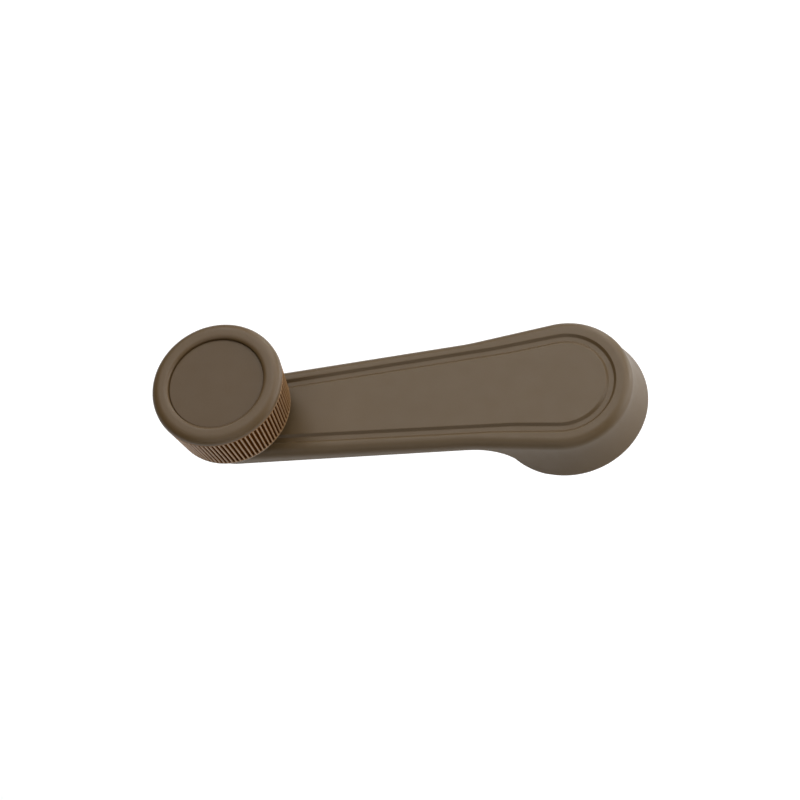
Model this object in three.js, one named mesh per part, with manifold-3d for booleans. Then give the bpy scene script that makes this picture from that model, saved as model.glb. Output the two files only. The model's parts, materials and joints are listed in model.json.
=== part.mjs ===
// Window crank: a tapered moulded arm on a splined hub, with a ribbed knob that spins on a pin.
// Millimetres. The origin is on the spindle axis, on the face of the door trim. +Z points away
// from the door, and the arm runs along -X to the knob.
import * as THREE from 'three';
import { mergeVertices } from 'three/addons/utils/BufferGeometryUtils.js';
import Module from 'manifold-3d';

const wasm = await Module();
wasm.setup();

// ---- Driving dimensions ----
const CENTRES = 95;                 // spindle axis to knob axis
const PLAY = 0.3;                   // clearance between neighbouring pieces
const TAPER = 0.055;                // angle of each long edge of the arm to its centre line, radians
const BLEND_RADIUS = 60;            // hollow curve between an arm edge and the hub's shoulder

const ARM_TOP = 14.7;               // face of the arm above the trim
const ARM_UNDERSIDE = 11.2;         // where the arch meets it
const UNDERSIDE_FALL = 0.022;       // the arm deepens by this much per millimetre towards the knob
const HUB_RADIUS = 19.91;           // at the top of the hub's skirt
const ARM_HALF_WIDTH = 18.02;       // of the tapered edges, measured at the spindle axis
const ARM_CORNER = 26.9;            // station along the arm where the hub's shoulder meets the edge
const EDGE_ROUND = 2.8;             // rounding of the arm's upper edge
const FACE_THICKNESS = 1.8;
const WALL = 2.2;
const SKIRT_BOTTOM = 0.6;           // the skirt clears the trim by this much
const SKIRT_FLARE = 2.65;           // how far the skirt spreads at its foot
const FLARE_POWER = 1.6;
const ARCH_RADIUS = 6.4;            // the arch from the arm's underside down to the skirt
const ARCH_CENTRE = 30.2;           // from the spindle axis
const ARCH_FOOT = 2.5;              // height where the arch runs into the skirt

// The walls of the channel round the flat panel: the same kind of outline as the arm's edge.
const CHANNEL_PLAN = { hub: 15.05, halfWidth: 14.25, corner: 19.8 };
const PANEL_PLAN = { hub: 12.93, halfWidth: 12.2, corner: 14.3 };
const CHANNEL_DEPTH = 0.7;

const CORE_THICKNESS = 1.5;
const CORE_BOTTOM = 11.1;
const CORE_TOP = CORE_BOTTOM + CORE_THICKNESS;
const CORE_EDGE_GAP = 0.4;
const CORE_HUB_HOLE = 6.5;
const POST_RADIUS = 1.6;            // moulded posts that locate the core
const POST_STATIONS = [38, 66];     // along the arm from the spindle axis
const POST_END = 9.6;
const PUSH_NUT = { bore: 1.9, radius: 4.4, thickness: 0.8 };

const SOCKET_FLANGE_RADIUS = 14;
const SOCKET_FLANGE_THICKNESS = 2;
const SOCKET_BARREL_RADIUS = 9.6;
const SOCKET_TOP = CORE_BOTTOM - PLAY;
const SOCKET_BOTTOM = 3.2;
const SPLINE_TEETH = 24;
const SPLINE_ROOT = 6.2;            // radius at the bottom of the female teeth
const SPLINE_TIP = 5.6;
const RIVET_COUNT = 3;
const RIVET_CIRCLE = 11.8;
const RIVET = { shank: 1.5, hole: 1.85, head: 2.2, headThickness: 0.8 };

const CLIP_THICKNESS = 1.2;
const CLIP_WIDTH = 1.6;
const CLIP_LEG = 6.3;               // leg centre line from the spindle axis
const CLIP_MIDDLE = 5.35;           // height of the clip's middle plane
const CLIP_SLOT_HEIGHT = 1.9;
const CLIP_BACK = 6.9;              // centre of the clip's bend, along +X
const CLIP_TIP = -8.5;

const WEAR_RING = { bore: 7, radius: 17.2, thickness: 1.6, rimRadius: 9.8 };

const BOSS_RADIUS = 6.4;            // moulded boss round the knob pin
const BOSS_TOP = 18.2;
const PIN_COLLAR_RADIUS = 5;
const PIN_COLLAR_TOP = 18.4;
const PIN_NECK_RADIUS = 3;
const PIN_RADIUS = 3.2;
const PIN_TAIL = { radius: 4.4, bottom: 8.9, top: 9.9 };
const TAIL_WASHER = { bore: 3.3, radius: 5.8, bottom: 10.2, top: 10.8 };
const PIN_GROOVE = { radius: 2.3, bottom: 31.1, top: 32.4 };
const PIN_TOP = 33.5;
const PIN_CHAMFER = 0.5;
const THRUST_WASHER = { bore: 3.5, radius: 6.2, bottom: 18.7, top: 19.3 };

const KNOB_BOTTOM = 19.65;
const KNOB_FOOT_RADIUS = 17.3;
const FOOT_CHAMFER = 0.3;
const KNOB_RADIUS = 19.02;          // over the ribs, at their upper ends
const RIB_BOTTOM = 20.3;
const RIB_TOP = 35.0;
const RIB_COUNT = 90;
const FLUTE_DEPTH = 0.8;
const FLUTE_WIDTH = 0.66;
const RIM_SEAM = { radius: 18.72, height: 35.2 };   // the crease between the ribs and the rim
const RIM = { radius: 18.98, bottom: 35.35, crestOuter: 16.3, crestInner: 15.3, top: 37.5 };
const RECESS_RADIUS = 13.92;
const RECESS_EDGE = 36.75;          // where the rim's inner slope ends and the recess wall starts
const KNOB_FLOOR = 21.8;
const KNOB_CAVITY_RADIUS = 14.3;
const KNOB_BOSS = { radius: 7.8, top: 28.6 };
const CAP_LEDGE = { radius: 12.7, bottom: 33.4, top: 34.7 };
const CAP_TOP = 36.4;
const CAP_BOTTOM = 35.0;
const CAP_SKIRT = { inner: 11.2, outer: 12.4, bottom: 32.8 };

const BUSH = { bore: 3.5, radius: 5.0, flangeRadius: 6.3, flangeTop: 20.9, top: 28.9 };
const WAVE_WASHER = { bore: 3.6, radius: 6.6, middle: 29.7, swing: 0.3, thickness: 0.35, waves: 3 };
const PIN_WASHER = { bore: 3.5, radius: 6.6, bottom: 30.45, top: 30.95 };
const RETAINING_RING = { bore: 2.6, radius: 5.4, bottom: 31.4, top: 32.1, mouth: 3.4 };

const FINE_ARC = 56;                // segments in the round parts that show
const COARSE_ARC = 36;              // segments in the small inner parts

// ---- Solids ----
function toSolid(geometry) {
  const plain = geometry.clone();
  plain.deleteAttribute('normal');
  plain.deleteAttribute('uv');
  const merged = mergeVertices(plain);
  const corners = merged.index.array;
  const kept = [];
  for (let i = 0; i < corners.length; i += 3) {
    const [a, b, c] = [corners[i], corners[i + 1], corners[i + 2]];
    if (a !== b && b !== c && c !== a) kept.push(a, b, c);
  }
  return new wasm.Manifold(new wasm.Mesh({
    numProp: 3,
    vertProperties: new Float32Array(merged.attributes.position.array),
    triVerts: new Uint32Array(kept),
  }));
}

function toGeometry(solid) {
  const mesh = solid.getMesh();
  const geometry = new THREE.BufferGeometry();
  geometry.setAttribute('position', new THREE.BufferAttribute(mesh.vertProperties, 3));
  geometry.setIndex(new THREE.BufferAttribute(mesh.triVerts, 1));
  return geometry;
}

// A profile of [radius, height] pairs, up the outside and down the inside, turned about Z.
function turned(profile, segments) {
  const points = profile.map(([radius, height]) => new THREE.Vector2(radius, height));
  const geometry = new THREE.LatheGeometry(points, segments);
  geometry.rotateX(Math.PI / 2);
  return geometry;
}

function turnedRing({ bore, radius, bottom, top }, segments) {
  return turned([[radius, bottom], [radius, top], [bore, top], [bore, bottom], [radius, bottom]], segments);
}

function turnedDisc(radius, bottom, top, segments) {
  return turned([[0, bottom], [radius, bottom], [radius, top], [0, top]], segments);
}

function extruded(shape, bottom, top, curveSegments = 16) {
  const settings = { depth: top - bottom, bevelEnabled: false, curveSegments };
  const geometry = new THREE.ExtrudeGeometry(shape, settings);
  geometry.translate(0, 0, bottom);
  return geometry;
}

function placed(geometry, x, y, z = 0) {
  geometry.translate(x, y, z);
  return geometry;
}

// A closed skin over level rings with equal point counts, each counter-clockwise, bottom first.
function lofted(rings) {
  const count = rings[0].points.length;
  const positions = [];
  for (const { points, height } of rings) {
    for (const point of points) positions.push(point.x, point.y, height);
  }
  const corners = [];
  for (let level = 0; level < rings.length - 1; level += 1) {
    for (let i = 0; i < count; i += 1) {
      const a = level * count + i;
      const b = level * count + (i + 1) % count;
      corners.push(a, b, b + count, a, b + count, a + count);
    }
  }
  const last = (rings.length - 1) * count;
  for (const [a, b, c] of THREE.ShapeUtils.triangulateShape(rings[0].points, [])) corners.push(a, c, b);
  for (const [a, b, c] of THREE.ShapeUtils.triangulateShape(rings.at(-1).points, [])) {
    corners.push(last + a, last + b, last + c);
  }
  const geometry = new THREE.BufferGeometry();
  geometry.setAttribute('position', new THREE.Float32BufferAttribute(positions, 3));
  geometry.setIndex(corners);
  return geometry;
}

// ---- Plan outline of the arm ----
function arc(centre, radius, from, to, steps) {
  const points = [];
  for (let i = 0; i <= steps; i += 1) {
    const angle = from + (to - from) * i / steps;
    const x = centre.x + radius * Math.cos(angle);
    const y = centre.y + radius * Math.sin(angle);
    points.push(new THREE.Vector2(x, y));
  }
  return points;
}

// Round hub, straight shoulder, hollow blend, tapered edge and a round end about the knob axis,
// all moved in by inset. The shoulder is the hub circle's tangent from the corner, and the blend's
// centre lies one radius outside both straight lines.
function armOutline({ hub, halfWidth, corner }, inset) {
  const cornerHeight = halfWidth - corner * Math.tan(TAPER);
  const shoulder = Math.atan2(corner, cornerHeight) - Math.acos(hub / Math.hypot(corner, cornerHeight));
  const hubReach = hub - inset;
  const edgeReach = halfWidth * Math.cos(TAPER) - inset;
  const blend = BLEND_RADIUS + inset;
  const tip = edgeReach - CENTRES * Math.sin(TAPER);
  const turn = Math.sin(shoulder - TAPER);
  const centre = new THREE.Vector2(
    ((edgeReach + blend) * Math.cos(shoulder) - (hubReach + blend) * Math.cos(TAPER)) / turn,
    ((edgeReach + blend) * Math.sin(shoulder) - (hubReach + blend) * Math.sin(TAPER)) / turn,
  );
  const quarter = Math.PI / 2;
  const hubSide = arc(new THREE.Vector2(0, 0), hubReach, 0, quarter + shoulder, 18);
  const blendSide = arc(centre, blend, shoulder - quarter, TAPER - quarter, 4);
  const tipSide = arc(new THREE.Vector2(-CENTRES, 0), tip, quarter + TAPER, Math.PI, 9);
  const upper = [...hubSide, ...blendSide, ...tipSide];
  const lower = upper.slice(1, -1).reverse().map((point) => new THREE.Vector2(point.x, -point.y));
  return [...upper, ...lower];
}

// The arm's outer outline where the skirt has this radius.
function skinOutline(hub, inset) {
  return armOutline({ hub, halfWidth: ARM_HALF_WIDTH, corner: ARM_CORNER }, inset);
}

function skirtRadius(height) {
  const reach = Math.max(0, ARM_TOP - EDGE_ROUND - height) / (ARM_TOP - EDGE_ROUND - SKIRT_BOTTOM);
  return HUB_RADIUS + SKIRT_FLARE * reach ** FLARE_POWER;
}

// ---- The moulded arm skin ----
function skinBlank() {
  const rings = [];
  const wallTop = ARM_TOP - EDGE_ROUND;
  for (const share of [0, 0.08, 0.25, 0.5, 0.75, 1]) {
    const height = SKIRT_BOTTOM + (wallTop - SKIRT_BOTTOM) * share;
    rings.push({ points: skinOutline(skirtRadius(height), 0), height });
  }
  const steps = 5;
  for (let i = 1; i <= steps; i += 1) {
    const turn = Math.PI / 2 * i / steps;
    const inset = EDGE_ROUND * (1 - Math.cos(turn));
    const height = wallTop + EDGE_ROUND * Math.sin(turn);
    rings.push({ points: skinOutline(HUB_RADIUS, inset), height });
  }
  return toSolid(lofted(rings));
}

// Everything below the arm's sloping underside, outside the arch and outside the round skirt. The
// arch starts with a straight line from the skirt that touches its round part.
function underArmCut() {
  const gap = 0.1;
  const far = 2 * CENTRES;
  const middle = ARM_UNDERSIDE - ARCH_RADIUS;
  const across = ARCH_CENTRE - skirtRadius(ARCH_FOOT) - gap;
  const up = middle - ARCH_FOOT;
  const steepness = Math.atan2(up, across) + Math.asin(ARCH_RADIUS / Math.hypot(across, up));
  const profile = [[far, -1], [far, ARM_UNDERSIDE - UNDERSIDE_FALL * (far - ARCH_CENTRE)]];
  const steps = 7;
  for (let i = 0; i <= steps; i += 1) {
    const turn = Math.PI / 2 + steepness * i / steps;
    profile.push([ARCH_CENTRE + ARCH_RADIUS * Math.cos(turn), middle + ARCH_RADIUS * Math.sin(turn)]);
  }
  for (const height of [ARCH_FOOT, 1.5, SKIRT_BOTTOM]) profile.push([skirtRadius(height) + gap, height]);
  profile.push([skirtRadius(SKIRT_BOTTOM) + gap, -1], [far, -1]);
  return toSolid(turned(profile, FINE_ARC));
}

function hubCavity() {
  const roof = ARM_TOP - FACE_THICKNESS;
  const profile = [[0, SKIRT_BOTTOM - 1]];
  for (const height of [SKIRT_BOTTOM - 1, SKIRT_BOTTOM, 4, 8, roof]) {
    profile.push([skirtRadius(Math.max(height, SKIRT_BOTTOM)) - WALL, height]);
  }
  profile.push([0, roof]);
  return toSolid(turned(profile, FINE_ARC));
}

// The hollow for the core. Beyond the arch it opens downwards as well.
function armPocket() {
  const shape = new THREE.Shape(skinOutline(HUB_RADIUS, WALL));
  const pocket = toSolid(extruded(shape, CORE_BOTTOM - PLAY, ARM_TOP - FACE_THICKNESS));
  const opening = toSolid(extruded(shape, SOCKET_BOTTOM, CORE_BOTTOM));
  const kept = turnedDisc(ARCH_CENTRE, 0, ARM_TOP, FINE_ARC);
  return pocket.add(opening.subtract(toSolid(kept)));
}

function channelCut() {
  const band = new THREE.Shape(armOutline(CHANNEL_PLAN, 0));
  band.holes.push(new THREE.Path(armOutline(PANEL_PLAN, 0)));
  return toSolid(extruded(band, ARM_TOP - CHANNEL_DEPTH, ARM_TOP + 1));
}

function armSkin() {
  let solid = skinBlank().subtract(underArmCut());
  solid = solid.subtract(hubCavity()).subtract(armPocket()).subtract(channelCut());
  const boss = placed(turnedDisc(BOSS_RADIUS, ARM_TOP - 1, BOSS_TOP, COARSE_ARC), -CENTRES, 0);
  solid = solid.add(toSolid(boss));
  const pinHole = placed(turnedDisc(PIN_COLLAR_RADIUS + PLAY, 0, BOSS_TOP + 1, COARSE_ARC), -CENTRES, 0);
  solid = solid.subtract(toSolid(pinHole));
  for (const station of POST_STATIONS) {
    const post = turnedDisc(POST_RADIUS, POST_END, ARM_TOP - 1.5, 16);
    solid = solid.add(toSolid(placed(post, -station, 0)));
  }
  return toGeometry(solid);
}

// ---- The steel core and what fixes it ----
function circleHole(x, y, radius) {
  const hole = new THREE.Path();
  hole.absarc(x, y, radius, 0, 2 * Math.PI, true);
  return hole;
}

function rivetPlace(index) {
  const angle = Math.PI / 3 + index * 2 * Math.PI / RIVET_COUNT;
  return { x: RIVET_CIRCLE * Math.cos(angle), y: RIVET_CIRCLE * Math.sin(angle) };
}

function armCore() {
  const plate = new THREE.Shape(skinOutline(HUB_RADIUS, WALL + CORE_EDGE_GAP));
  plate.holes.push(circleHole(0, 0, CORE_HUB_HOLE));
  plate.holes.push(circleHole(-CENTRES, 0, PIN_NECK_RADIUS + PLAY));
  for (const station of POST_STATIONS) plate.holes.push(circleHole(-station, 0, POST_RADIUS + PLAY));
  for (let i = 0; i < RIVET_COUNT; i += 1) {
    const { x, y } = rivetPlace(i);
    plate.holes.push(circleHole(x, y, RIVET.hole));
  }
  return extruded(plate, CORE_BOTTOM, CORE_TOP, 8);
}

function pushNut() {
  const top = CORE_BOTTOM - PLAY;
  return turnedRing({ ...PUSH_NUT, bottom: top - PUSH_NUT.thickness, top }, 24);
}

// ---- The splined hub socket ----
function splineBore() {
  const points = [];
  for (let i = 0; i < SPLINE_TEETH; i += 1) {
    for (const [share, radius] of [[0.05, SPLINE_TIP], [0.3, SPLINE_TIP], [0.5, SPLINE_ROOT], [0.85, SPLINE_ROOT]]) {
      const angle = 2 * Math.PI * (i + share) / SPLINE_TEETH;
      points.push(new THREE.Vector2(radius * Math.cos(angle), radius * Math.sin(angle)));
    }
  }
  return new THREE.Path(points);
}

function splineSocket() {
  const barrelTop = SOCKET_TOP - SOCKET_FLANGE_THICKNESS;
  const flange = new THREE.Shape();
  flange.absarc(0, 0, SOCKET_FLANGE_RADIUS, 0, 2 * Math.PI);
  flange.holes.push(splineBore());
  for (let i = 0; i < RIVET_COUNT; i += 1) {
    const { x, y } = rivetPlace(i);
    flange.holes.push(circleHole(x, y, RIVET.hole));
  }
  const barrel = new THREE.Shape();
  barrel.absarc(0, 0, SOCKET_BARREL_RADIUS, 0, 2 * Math.PI);
  barrel.holes.push(splineBore());
  let solid = toSolid(extruded(flange, barrelTop, SOCKET_TOP, 12));
  solid = solid.add(toSolid(extruded(barrel, SOCKET_BOTTOM, barrelTop, 12)));
  const inner = CLIP_LEG - CLIP_WIDTH / 2 - PLAY;
  const slotDepth = SOCKET_BARREL_RADIUS + 1 - inner;
  for (const side of [-1, 1]) {
    const slot = new THREE.BoxGeometry(2 * SOCKET_BARREL_RADIUS + 2, slotDepth, CLIP_SLOT_HEIGHT);
    solid = solid.subtract(toSolid(placed(slot, 0, side * (inner + slotDepth / 2), CLIP_MIDDLE)));
  }
  return toGeometry(solid);
}

function socketRivet() {
  const headTop = SOCKET_TOP - SOCKET_FLANGE_THICKNESS - PLAY;
  const headBottom = headTop - RIVET.headThickness;
  const profile = [[0, headBottom], [RIVET.head - 0.4, headBottom], [RIVET.head, headBottom + 0.4]];
  profile.push([RIVET.head, headTop], [RIVET.shank, headTop], [RIVET.shank, CORE_TOP - 0.1], [0, CORE_TOP - 0.1]);
  return turned(profile, 16);
}

// A horseshoe spring clip: two straight legs, a round back, and tips that open outwards.
function retainingClip() {
  const half = CLIP_WIDTH / 2;
  const back = new THREE.Vector2(CLIP_BACK, 0);
  const flare = 1.2;
  const outer = arc(back, CLIP_LEG + half, -Math.PI / 2, Math.PI / 2, 14);
  const inner = arc(back, CLIP_LEG - half, Math.PI / 2, -Math.PI / 2, 14);
  const tip = (side, offset) => [
    new THREE.Vector2(CLIP_TIP + 2, side * (CLIP_LEG + offset)),
    new THREE.Vector2(CLIP_TIP, side * (CLIP_LEG + offset + flare)),
  ];
  const upperTip = [...tip(1, half), ...tip(1, -half).reverse()];
  const lowerTip = [...tip(-1, -half), ...tip(-1, half).reverse()];
  const outline = new THREE.Shape([...outer, ...upperTip, ...inner, ...lowerTip]);
  return extruded(outline, CLIP_MIDDLE - CLIP_THICKNESS / 2, CLIP_MIDDLE + CLIP_THICKNESS / 2);
}

function wearRing() {
  const { bore, radius, thickness, rimRadius } = WEAR_RING;
  const rimTop = SOCKET_BOTTOM - PLAY;
  const profile = [[radius, 0], [radius, thickness - 0.4], [radius - 0.4, thickness], [rimRadius, thickness]];
  profile.push([rimRadius, rimTop], [bore, rimTop], [bore, 0], [radius, 0]);
  return turned(profile, COARSE_ARC);
}

// ---- The knob pin and its washers ----
function knobPin() {
  const profile = [[0, PIN_TAIL.bottom], [PIN_TAIL.radius - 0.5, PIN_TAIL.bottom]];
  profile.push([PIN_TAIL.radius, PIN_TAIL.bottom + 0.5], [PIN_TAIL.radius, PIN_TAIL.top]);
  profile.push([PIN_NECK_RADIUS, PIN_TAIL.top], [PIN_NECK_RADIUS, CORE_TOP + PLAY]);
  profile.push([PIN_COLLAR_RADIUS, CORE_TOP + PLAY], [PIN_COLLAR_RADIUS, PIN_COLLAR_TOP]);
  profile.push([PIN_RADIUS, PIN_COLLAR_TOP], [PIN_RADIUS, PIN_GROOVE.bottom]);
  profile.push([PIN_GROOVE.radius, PIN_GROOVE.bottom], [PIN_GROOVE.radius, PIN_GROOVE.top]);
  profile.push([PIN_RADIUS, PIN_GROOVE.top], [PIN_RADIUS, PIN_TOP - PIN_CHAMFER]);
  profile.push([PIN_RADIUS - PIN_CHAMFER, PIN_TOP], [0, PIN_TOP]);
  return turned(profile, 24);
}

// A flat ring whose height rises and falls round its circle.
function waveWasher() {
  const { bore, radius, middle, swing, thickness, waves } = WAVE_WASHER;
  const segments = 36;
  const positions = [];
  const corners = [];
  for (let i = 0; i < segments; i += 1) {
    const angle = 2 * Math.PI * i / segments;
    const lift = middle + swing * Math.cos(waves * angle);
    for (const [r, z] of [[radius, lift], [radius, lift + thickness], [bore, lift + thickness], [bore, lift]]) {
      positions.push(r * Math.cos(angle), r * Math.sin(angle), z - thickness / 2);
    }
    for (let side = 0; side < 4; side += 1) {
      const a = 4 * i + side;
      const b = 4 * i + (side + 1) % 4;
      const c = (a + 4) % (4 * segments);
      const d = (b + 4) % (4 * segments);
      corners.push(a, c, d, a, d, b);
    }
  }
  const geometry = new THREE.BufferGeometry();
  geometry.setAttribute('position', new THREE.Float32BufferAttribute(positions, 3));
  geometry.setIndex(corners);
  return geometry;
}

function retainingRing() {
  const { bore, radius, bottom, top, mouth } = RETAINING_RING;
  const outerOpen = Math.asin(mouth / 2 / radius);
  const innerOpen = Math.asin(mouth / 2 / bore);
  const centre = new THREE.Vector2(0, 0);
  const outer = arc(centre, radius, outerOpen, 2 * Math.PI - outerOpen, 24);
  const inner = arc(centre, bore, 2 * Math.PI - innerOpen, innerOpen, 14);
  return extruded(new THREE.Shape([...outer, ...inner]), bottom, top);
}

// ---- The knob ----
// The outside of the knob, with the recess for its cap, before the flutes and the hollow are cut.
function knobBlank() {
  const profile = [[0, KNOB_BOTTOM], [KNOB_FOOT_RADIUS - FOOT_CHAMFER, KNOB_BOTTOM]];
  profile.push([KNOB_FOOT_RADIUS, KNOB_BOTTOM + FOOT_CHAMFER], [KNOB_RADIUS, RIB_TOP]);
  profile.push([RIM_SEAM.radius, RIM_SEAM.height]);
  const outerSteps = 5;
  for (let i = 0; i <= outerSteps; i += 1) {
    const turn = Math.PI / 2 * i / outerSteps;
    const radius = RIM.crestOuter + (RIM.radius - RIM.crestOuter) * Math.cos(turn);
    profile.push([radius, RIM.bottom + (RIM.top - RIM.bottom) * Math.sin(turn)]);
  }
  const innerSteps = 3;
  for (let i = 0; i <= innerSteps; i += 1) {
    const turn = Math.PI / 2 * (1 - i / innerSteps);
    const radius = RIM.crestInner - (RIM.crestInner - RECESS_RADIUS) * Math.cos(turn);
    profile.push([radius, RECESS_EDGE + (RIM.top - RECESS_EDGE) * Math.sin(turn)]);
  }
  profile.push([RECESS_RADIUS, CAP_LEDGE.top], [0, CAP_LEDGE.top]);
  return toSolid(turned(profile, RIB_COUNT));
}

// The ring-shaped hollow round the boss, the mouth under the cap, and the stepped bore for the bush.
function knobHollow() {
  const bore = BUSH.radius + PLAY;
  const step = BUSH.flangeRadius + PLAY;
  const profile = [[0, KNOB_BOTTOM - 1], [step, KNOB_BOTTOM - 1], [step, BUSH.flangeTop + PLAY]];
  profile.push([bore, BUSH.flangeTop + PLAY], [bore, KNOB_BOSS.top], [KNOB_BOSS.radius, KNOB_BOSS.top]);
  profile.push([KNOB_BOSS.radius, KNOB_FLOOR], [KNOB_CAVITY_RADIUS, KNOB_FLOOR]);
  profile.push([KNOB_CAVITY_RADIUS, CAP_LEDGE.bottom], [CAP_LEDGE.radius, CAP_LEDGE.bottom]);
  profile.push([CAP_LEDGE.radius, CAP_LEDGE.top + 1], [0, CAP_LEDGE.top + 1]);
  return toSolid(turned(profile, COARSE_ARC));
}

function knobBody() {
  const sideBottom = KNOB_BOTTOM + FOOT_CHAMFER;
  const slope = Math.atan2(KNOB_RADIUS - KNOB_FOOT_RADIUS, RIB_TOP - sideBottom);
  const middle = (RIB_BOTTOM + RIB_TOP) / 2;
  const sideRadius = KNOB_FOOT_RADIUS + (middle - sideBottom) * Math.tan(slope);
  const flutes = [];
  for (let i = 0; i < RIB_COUNT; i += 1) {
    const flute = new THREE.BoxGeometry(2 * FLUTE_DEPTH, FLUTE_WIDTH, RIB_TOP - RIB_BOTTOM);
    flute.rotateY(slope);
    flute.translate(sideRadius, 0, middle);
    flute.rotateZ(2 * Math.PI * i / RIB_COUNT);
    flutes.push(toSolid(flute));
  }
  return toGeometry(knobBlank().subtract(knobHollow()).subtract(wasm.Manifold.union(flutes)));
}

function knobCap() {
  const edge = RECESS_RADIUS - PLAY;
  const profile = [[0, CAP_BOTTOM], [CAP_SKIRT.inner, CAP_BOTTOM], [CAP_SKIRT.inner, CAP_SKIRT.bottom]];
  profile.push([CAP_SKIRT.outer, CAP_SKIRT.bottom], [CAP_SKIRT.outer, CAP_BOTTOM], [edge, CAP_BOTTOM]);
  profile.push([edge, CAP_TOP - 0.3], [edge - 0.3, CAP_TOP], [0, CAP_TOP]);
  return turned(profile, FINE_ARC);
}

function knobBush() {
  const { bore, radius, flangeRadius, flangeTop, top } = BUSH;
  const profile = [[flangeRadius, KNOB_BOTTOM], [flangeRadius, flangeTop], [radius, flangeTop], [radius, top]];
  profile.push([bore, top], [bore, KNOB_BOTTOM], [flangeRadius, KNOB_BOTTOM]);
  return turned(profile, COARSE_ARC);
}

// ---- Materials ----
function brownPlastic() {
  return new THREE.MeshStandardMaterial({ color: 0x6a5e4c, roughness: 0.55, metalness: 0 });
}

function capPlastic() {
  return new THREE.MeshStandardMaterial({ color: 0x5f5343, roughness: 0.6, metalness: 0 });
}

function zincPlatedSteel() {
  return new THREE.MeshStandardMaterial({ color: 0xb4b6b2, roughness: 0.35, metalness: 1 });
}

function springSteel() {
  return new THREE.MeshStandardMaterial({ color: 0x6f6c68, roughness: 0.4, metalness: 1 });
}

function castZinc() {
  return new THREE.MeshStandardMaterial({ color: 0x9a9b98, roughness: 0.5, metalness: 1 });
}

function nylon() {
  return new THREE.MeshStandardMaterial({ color: 0xe6e1d2, roughness: 0.5, metalness: 0 });
}

// ---- Assembly ----
function addPiece(parent, name, geometry, material) {
  const mesh = new THREE.Mesh(geometry, material);
  mesh.name = name;
  parent.add(mesh);
  return mesh;
}

function armAssembly() {
  const group = new THREE.Group();
  addPiece(group, 'arm_skin', armSkin(), brownPlastic());
  addPiece(group, 'arm_core', armCore(), zincPlatedSteel());
  POST_STATIONS.forEach((station, index) => {
    const nut = addPiece(group, `core_push_nut_${index + 1}`, pushNut(), springSteel());
    nut.position.x = -station;
  });
  addPiece(group, 'spline_socket', splineSocket(), castZinc());
  for (let i = 0; i < RIVET_COUNT; i += 1) {
    const rivet = addPiece(group, `socket_rivet_${i + 1}`, socketRivet(), zincPlatedSteel());
    rivet.position.set(rivetPlace(i).x, rivetPlace(i).y, 0);
  }
  addPiece(group, 'retaining_clip', retainingClip(), springSteel());
  return group;
}

function pinAssembly() {
  const group = new THREE.Group();
  addPiece(group, 'knob_pin', knobPin(), zincPlatedSteel());
  addPiece(group, 'pin_tail_washer', turnedRing(TAIL_WASHER, 24), zincPlatedSteel());
  addPiece(group, 'thrust_washer', turnedRing(THRUST_WASHER, COARSE_ARC), nylon());
  addPiece(group, 'wave_washer', waveWasher(), springSteel());
  addPiece(group, 'pin_washer', turnedRing(PIN_WASHER, COARSE_ARC), zincPlatedSteel());
  addPiece(group, 'pin_retaining_ring', retainingRing(), springSteel());
  return group;
}

function knobAssembly() {
  const group = new THREE.Group();
  addPiece(group, 'knob_body', knobBody(), brownPlastic());
  addPiece(group, 'knob_bush', knobBush(), nylon());
  addPiece(group, 'knob_cap', knobCap(), capPlastic());
  return group;
}

const crank = new THREE.Group();
const knobEnd = new THREE.Group();
knobEnd.position.x = -CENTRES;
knobEnd.add(pinAssembly(), knobAssembly());
addPiece(crank, 'wear_ring', wearRing(), nylon());
crank.add(armAssembly(), knobEnd);

export default crank;
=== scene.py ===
"""The looks of the window crank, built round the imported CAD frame.

Shapes are worked out in millimetres in the row frame: the spindle axis is the Z axis, the door
trim is Z = 0, and the arm runs along -X to the knob. They become metres as each mesh is made.
"""
import json
import math

import bmesh
import bpy
from mathutils import Matrix, Vector


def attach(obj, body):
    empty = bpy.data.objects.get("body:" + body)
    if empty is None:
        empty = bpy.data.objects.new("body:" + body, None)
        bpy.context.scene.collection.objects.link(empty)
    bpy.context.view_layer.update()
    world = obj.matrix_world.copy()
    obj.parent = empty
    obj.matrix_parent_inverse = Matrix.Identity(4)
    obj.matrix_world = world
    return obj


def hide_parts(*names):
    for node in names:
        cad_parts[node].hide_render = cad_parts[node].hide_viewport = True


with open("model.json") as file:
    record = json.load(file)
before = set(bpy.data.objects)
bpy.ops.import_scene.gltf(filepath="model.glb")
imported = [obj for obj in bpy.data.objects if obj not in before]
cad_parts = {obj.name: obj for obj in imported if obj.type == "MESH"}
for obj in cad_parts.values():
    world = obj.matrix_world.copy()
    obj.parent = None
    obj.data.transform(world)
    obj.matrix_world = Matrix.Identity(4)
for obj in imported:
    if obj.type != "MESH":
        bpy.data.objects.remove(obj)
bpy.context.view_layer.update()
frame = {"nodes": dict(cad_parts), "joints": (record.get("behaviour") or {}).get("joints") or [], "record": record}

MM = 0.001
KNOB_X = next(j for j in frame["joints"] if j["name"] == "knob_spin")["pos_m"][0] / MM
CENTRES = -KNOB_X

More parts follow.
